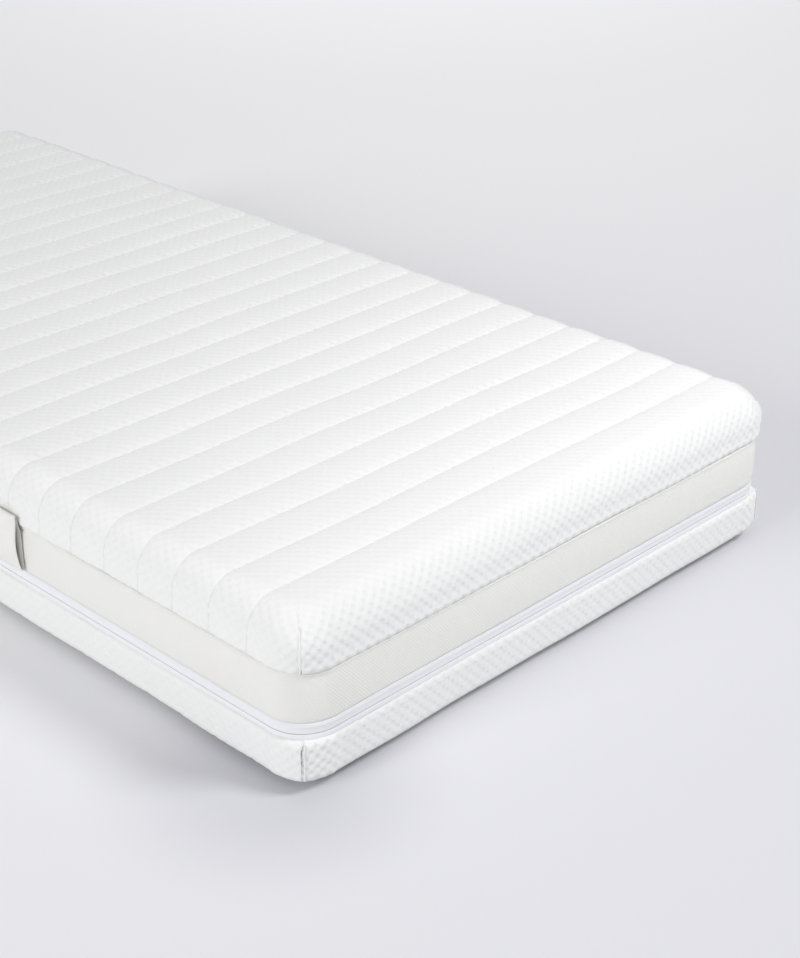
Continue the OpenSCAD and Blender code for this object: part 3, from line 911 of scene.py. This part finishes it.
band, band_run = ring_strip("border_band_mesh", band_section(), MESH_CLOTH, sway=band_sway)
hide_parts("border_band")


def tape_section(low, high, thick, crown_at, crown):
    """A tape with rounded edges that swells towards one height."""
    rise = np.linspace(0, 1, 12)
    z = low + (high - low) * rise
    swell = crown * np.exp(-((z - crown_at) / (3.2 * MM)) ** 2)
    rounding = 0.5 * MM * (1 - np.sin(np.pi * rise) ** 0.35)
    front = np.stack([BAND_INSET - swell + rounding, z], 1)
    back = np.stack([np.full(4, BAND_INSET + thick), np.linspace(high, low, 4)], 1)
    return np.concatenate([front, back])


upper_tape, tape_run = ring_strip(
    "upper_zip_tape_cloth",
    tape_section(UPPER_TAPE_Z, BAND_LOW_Z + 0.6 * MM, 1.2 * MM, BAND_LOW_Z - 4 * MM, 1.5 * MM),
    TAPE)
lower_tape, _ = ring_strip(
    "lower_zip_tape_cloth",
    tape_section(ZIP_LOW_Z - 0.6 * MM, LOWER_TAPE_Z, 1.2 * MM, LOWER_TAPE_Z - 3 * MM, 0.0),
    TAPE)
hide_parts("upper_zip_tape")
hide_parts("lower_zip_tape")


def ring_stitches(name, inset, z, pitch=3.6 * MM):
    """A line of stitches right round the mattress at one height."""
    base, out, run, _ = perimeter(pitch, 38)
    spot = np.concatenate([base + out * (CORNER_R - inset), np.full((len(run), 1), z)], 1)
    nxt = np.roll(spot, -1, 0)
    outs = np.concatenate([out, np.zeros((len(run), 1))], 1)
    piece = stitches(name, spot + (nxt - spot) * 0.14, nxt - (nxt - spot) * 0.14, outs)
    return finish_piece(piece, THREAD)


ring_stitches("upper_tape_stitches", BAND_INSET - 0.9 * MM, BAND_LOW_Z - 1.4 * MM)
ring_stitches("lower_tape_stitches", BAND_INSET - 0.1 * MM, ZIP_LOW_Z + 1.3 * MM)


# ---- Handles ---------------------------------------------------------------------------------

STRAP_T = 2.8 * MM
STRAP_WAYPOINTS = [
    (4.6, 92.5), (4.9, 112), (4.9, 134), (5.1, 151), (6.4, 161), (8.3, 169.5), (8.7, 176),
    (10.2, 179.9), (11.9, 178.7), (12.3, 172.5), (13.8, 162), (16.0, 150), (16.9, 136),
    (16.0, 121), (13.2, 108), (10.2, 98.5), (8.0, 93.0),
]


def smooth_path(points, samples):
    """A Catmull-Rom curve through the points, at even spacing."""
    pts = np.array(points, float) * MM
    pts = np.concatenate([[2 * pts[0] - pts[1]], pts, [2 * pts[-1] - pts[-2]]])
    t = np.linspace(0, 1, 12, endpoint=False)[:, None]
    curve = []
    for a, b, c, d in zip(pts[:-3], pts[1:-2], pts[2:-1], pts[3:], strict=True):
        curve.append(0.5 * (2 * b + (c - a) * t + (2 * a - 5 * b + 4 * c - d) * t ** 2
                            + (3 * b - a - 3 * c + d) * t ** 3))
    curve = np.concatenate(curve + [pts[-2:-1]])
    line = Profile(curve)
    return np.stack(line.at(np.linspace(0, line.length, samples)), 1), line.length


def make_handle(side, end):
    """One strap, sewn down behind, folded over at the top and bulging in front."""
    name = f"{side}_{end}"
    node = f"handle_loop_{name}"
    low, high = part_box(node)
    sx = -1 if side == "left" else 1
    half = (high.y - low.y) / 2
    middle = (high.y + low.y) / 2
    face_x = HALF_W - BAND_INSET
    path, length = smooth_path(STRAP_WAYPOINTS, 70)
    ahead = unit(np.gradient(path, axis=0))
    out = np.stack([-ahead[:, 1], ahead[:, 0]], 1)
    across = np.concatenate([spaced(-1, 1, 26), spaced(1, -1, 26)]) * half
    face = np.repeat([1.0, -1.0], 27)
    hem = 0.45 * MM * np.exp(-((half - abs(across) - 4 * MM) / (3 * MM)) ** 2)
    rounding = np.clip((half - abs(across)) / (1.2 * MM), 0, 1) ** 0.5
    thick = face * (STRAP_T / 2 + hem) * rounding
    forward = ease(path[:, 0], 9 * MM, 17 * MM)
    curl = -2.2 * MM * forward[:, None] * (abs(across) / half)[None] ** 3
    wave = 0.5 * MM * np.sin(across / half * 2.3 + 1.1)[None] * forward[:, None]
    slump = -1.2 * MM * forward[:, None] * np.cos(across / half * 1.4)[None]
    u = path[:, :1] + out[:, :1] * thick[None] + curl + wave
    z = path[:, 1:] + out[:, 1:] * thick[None] + slump
    y = middle + across[None] + 1.5 * MM * forward[:, None]
    points = np.stack([sx * (face_x + u), y + np.zeros_like(u), z], -1)
    run = np.linspace(0, length, len(path))
    still = np.zeros_like(u)
    sheet = np.stack([across[None] + still, run[:, None] + still, still], -1)
    rows, columns = u.shape
    width = columns // 2
    i = np.arange(width - 1)
    cap = np.stack([i, i + 1, columns - 2 - i, columns - 1 - i], 1)
    faces = np.concatenate([grid_faces(rows, columns, wrap_columns=True), cap,
                            cap + (rows - 1) * columns])
    piece = put(f"handle_{name}_strap", points, faces, sheet)
    face_outwards(piece)
    finish_piece(piece, MESH_CLOTH, body=None)
    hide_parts(node, f"handle_back_{name}")
    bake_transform(piece)
    rows_z, rows_u = (95.5 * MM, 98.5 * MM), (8.4 * MM, 10.4 * MM)
    starts, ends = [], []
    for z0, u0 in zip(rows_z, rows_u, strict=True):
        for y0 in np.arange(middle - half + 5 * MM, middle + half - 6 * MM, 3.6 * MM):
            starts.append((sx * (face_x + u0), y0, z0))
            ends.append((sx * (face_x + u0), y0 + 2.7 * MM, z0))
    outs = np.repeat([[sx * 0.85, 0, -0.53]], len(starts), 0)
    thread = stitches(f"handle_{name}_stitches", np.array(starts), np.array(ends), outs)
    finish_piece(thread, THREAD)


for side in ("left", "right"):
    for end in ("foot", "head"):
        make_handle(side, end)


# ---- CAD nodes that show through the zip or lie inside ---------------------------------------

LINING = plain_cloth("lining_cloth", (0.78, 0.78, 0.76), (0.86, 0.86, 0.84))
SOCK = plain_cloth("sock_knit", (0.80, 0.80, 0.77), (0.88, 0.88, 0.85), 1.6 * MM)
METAL = enamelled_metal()
COIL = nylon_coil()
WADDING = fibre_wadding()
CAD_FINISHES = {
    "top_wadding": WADDING, "bottom_wadding": WADDING,
    "top_lining": LINING, "bottom_lining": LINING,
    "upper_seam_binding": LINING, "lower_seam_binding": LINING,
    "handle_reinforcements": LINING, "core_sock": SOCK,
    "upper_zip_coil": COIL, "lower_zip_coil": COIL, "zip_end_stops": METAL,
    "zip_slider": METAL, "zip_pull_bail": METAL, "zip_pull": METAL,
    "comfort_layer": foam("comfort_foam", (0.80, 0.74, 0.56), (0.90, 0.85, 0.68), 1.1 * MM),
    "core_base": foam("base_foam", (0.50, 0.51, 0.54), (0.62, 0.63, 0.66), 2.0 * MM),
}
ZONE_FOAM = foam("zone_foam", (0.48, 0.62, 0.70), (0.62, 0.75, 0.82), 1.6 * MM)
BOLSTER_FOAM = foam("bolster_foam", (0.60, 0.61, 0.63), (0.72, 0.73, 0.75), 1.8 * MM)
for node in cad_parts:
    if node.endswith("_zone"):
        CAD_FINISHES[node] = ZONE_FOAM
    if node.startswith("side_bolster"):
        CAD_FINISHES[node] = BOLSTER_FOAM
for node, material in CAD_FINISHES.items():
    dress(node, material)


def make_end_tab():
    """A folded tab of band fabric over the two ends of the zip, sewn round its edge."""
    low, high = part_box("zip_end_tab")
    rise, width = 14, 22
    u, v = np.meshgrid(spaced(-1, 1, width), spaced(-1, 1, rise))
    edge = np.minimum(1 - abs(u), 1 - abs(v))
    hem = 0.3 * MM * np.exp(-((edge - 0.16) / 0.08) ** 2)
    plump = (high.y - low.y) * np.clip(edge * 6, 0, 1) ** 0.5 + hem
    x = (low.x + high.x) / 2 + u * (high.x - low.x) / 2
    z = (low.z + high.z) / 2 + v * (high.z - low.z) / 2
    front = np.stack([x, low.y + plump, z], -1)
    back = np.stack([x, np.full_like(x, low.y), z], -1)
    count = u.size
    faces = grid_faces(*u.shape)
    piece = put("zip_end_tab_cloth", np.stack([front, back]),
                np.concatenate([faces[:, ::-1], faces + count]),
                np.stack([np.stack([x, z, edge], -1)] * 2))
    form = bmesh.new()
    form.from_mesh(piece.data)
    bmesh.ops.remove_doubles(form, verts=form.verts, dist=0.01 * MM)
    form.to_mesh(piece.data)
    form.free()
    finish_piece(piece, MESH_CLOTH)
    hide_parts("zip_end_tab")
    starts, ends = [], []
    margin = 2.2 * MM
    pitch = 3.2 * MM
    y = high.y + 0.2 * MM
    for z0 in (low.z + margin, high.z - margin):
        for x0 in np.arange(low.x + margin, high.x - margin - pitch, pitch):
            starts.append((x0, y, z0))
            ends.append((x0 + 0.75 * pitch, y, z0))
    for x0 in (low.x + margin, high.x - margin):
        for z0 in np.arange(low.z + margin, high.z - margin - pitch, pitch):
            starts.append((x0, y, z0))
            ends.append((x0, y, z0 + 0.75 * pitch))
    thread = stitches("zip_end_tab_stitches", np.array(starts), np.array(ends),
                      np.repeat([[0, 1.0, 0]], len(starts), 0), 0.6 * MM)
    finish_piece(thread, THREAD)


make_end_tab()
